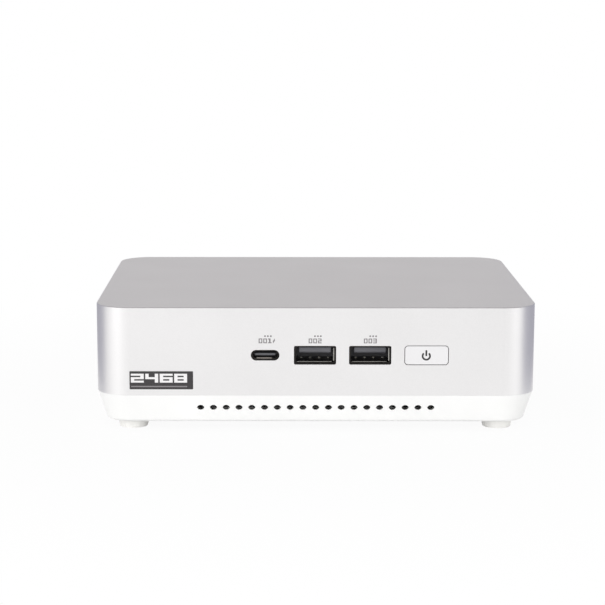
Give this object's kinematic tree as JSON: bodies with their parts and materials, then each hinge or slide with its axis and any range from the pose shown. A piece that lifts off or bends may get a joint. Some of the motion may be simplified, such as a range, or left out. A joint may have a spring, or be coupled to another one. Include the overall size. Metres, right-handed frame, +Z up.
{
  "type": "mini pc",
  "caption": "Slim desktop computer: rounded aluminium shell on a tapered white vented base, ports and a power button in front, ports and an exhaust grille behind, cover below.",
  "frame": {"origin": "centre of the case in plan, on the surface that the feet stand on", "axes": "+X to the right seen from the front, +Y from the front to the back, +Z up"},
  "size_m": [0.144, 0.112, 0.0417],
  "materials": {
    "shell_aluminium": "bead-blasted and clear anodised",
    "base_plastic": "moulded, fine satin texture",
    "latch_plastic": "moulded",
    "button_plastic": "moulded, satin",
    "dark_plastic": "moulded, fine texture",
    "socket_plastic": "moulded",
    "foot_rubber": "soft translucent rubber",
    "port_steel": "black nickel plated sheet",
    "shell_steel": "folded and plated sheet",
    "screw_steel": "plated",
    "contact_gold": "gold plated",
    "insert_brass": "turned",
    "board_laminate": "solder-masked laminate",
    "card_laminate": "solder-masked laminate",
    "chip_black": "moulded",
    "capacitor_metal": "drawn can",
    "copper": "bare copper",
    "fin_aluminium": "rolled sheet",
    "fan_plastic": "moulded",
    "thermal_pad": "soft pad",
    "cable_jacket": "smooth jacket"
  },
  "bodies": {
    "chassis": {"top_cover": "shell_aluminium", "base_frame": "base_plastic", "base_screws": "screw_steel", "rear_panel": "dark_plastic", "motherboard": "board_laminate", "board_screws": "screw_steel", "button_guide": "dark_plastic", "power_switch": "shell_steel", "front_oval_shell": "port_steel", "front_oval_tongue": "dark_plastic", "front_left_shell": "port_steel", "front_right_shell": "port_steel", "front_tongues": "dark_plastic", "front_contacts": "contact_gold", "rear_video_shells": "shell_steel", "rear_oval_shells": "shell_steel", "rear_stack_shell": "shell_steel", "rear_tongues": "dark_plastic", "network_jack": "shell_steel", "network_contacts": "contact_gold", "power_jack": "socket_plastic", "power_jack_pin": "contact_gold", "fan_frame": "fan_plastic", "fan_floor": "screw_steel", "fan_lid": "screw_steel", "fan_sleeve": "insert_brass", "fan_stator": "copper", "fin_stack": "fin_aluminium", "heat_pipe_inner": "copper", "heat_pipe_outer": "copper", "cold_plate": "copper", "cooler_screws": "screw_steel", "processor_package": "card_laminate", "processor_die": "chip_black", "board_coils": "chip_black", "board_capacitors": "capacitor_metal", "coin_cell": "capacitor_metal", "memory_sockets": "socket_plastic", "memory_module_upper": "card_laminate", "memory_module_lower": "card_laminate", "card_sockets": "socket_plastic", "ssd_card": "card_laminate", "radio_card": "card_laminate", "card_screws": "screw_steel", "aerials": "copper", "aerial_cables": "cable_jacket"},
    "power_button": {"power_button": "button_plastic", "switch_plunger": "dark_plastic"},
    "fan_rotor": {"fan_shaft": "screw_steel", "fan_impeller": "fan_plastic"},
    "bottom_cover": {"bottom_cover": "base_plastic", "bracket_inserts": "insert_brass", "ssd_heat_plate": "fin_aluminium", "ssd_thermal_pad": "thermal_pad", "foot_front_left": "foot_rubber", "foot_front_right": "foot_rubber", "foot_back_left": "foot_rubber", "foot_back_right": "foot_rubber"},
    "cover_latch": {"cover_latch": "latch_plastic"}
  },
  "joints": [
    {"name": "power_button_press", "type": "slide", "parent": "chassis", "child": "power_button", "axis": [0, 1, 0], "range_m": [0, 0.0005], "stiffness_N_per_m": 1500},
    {"name": "fan_spin", "type": "hinge", "parent": "chassis", "child": "fan_rotor", "pos_m": [-0.016, 0.006, 0.0334], "axis": [0, 0, 1], "continuous": true},
    {"name": "cover_release", "type": "slide", "parent": "chassis", "child": "bottom_cover", "axis": [0, 0, -1], "range_m": [0, 0.04]},
    {"name": "latch_slide", "type": "slide", "parent": "bottom_cover", "child": "cover_latch", "axis": [0, 1, 0], "range_m": [0, 0.004]}
  ]
}
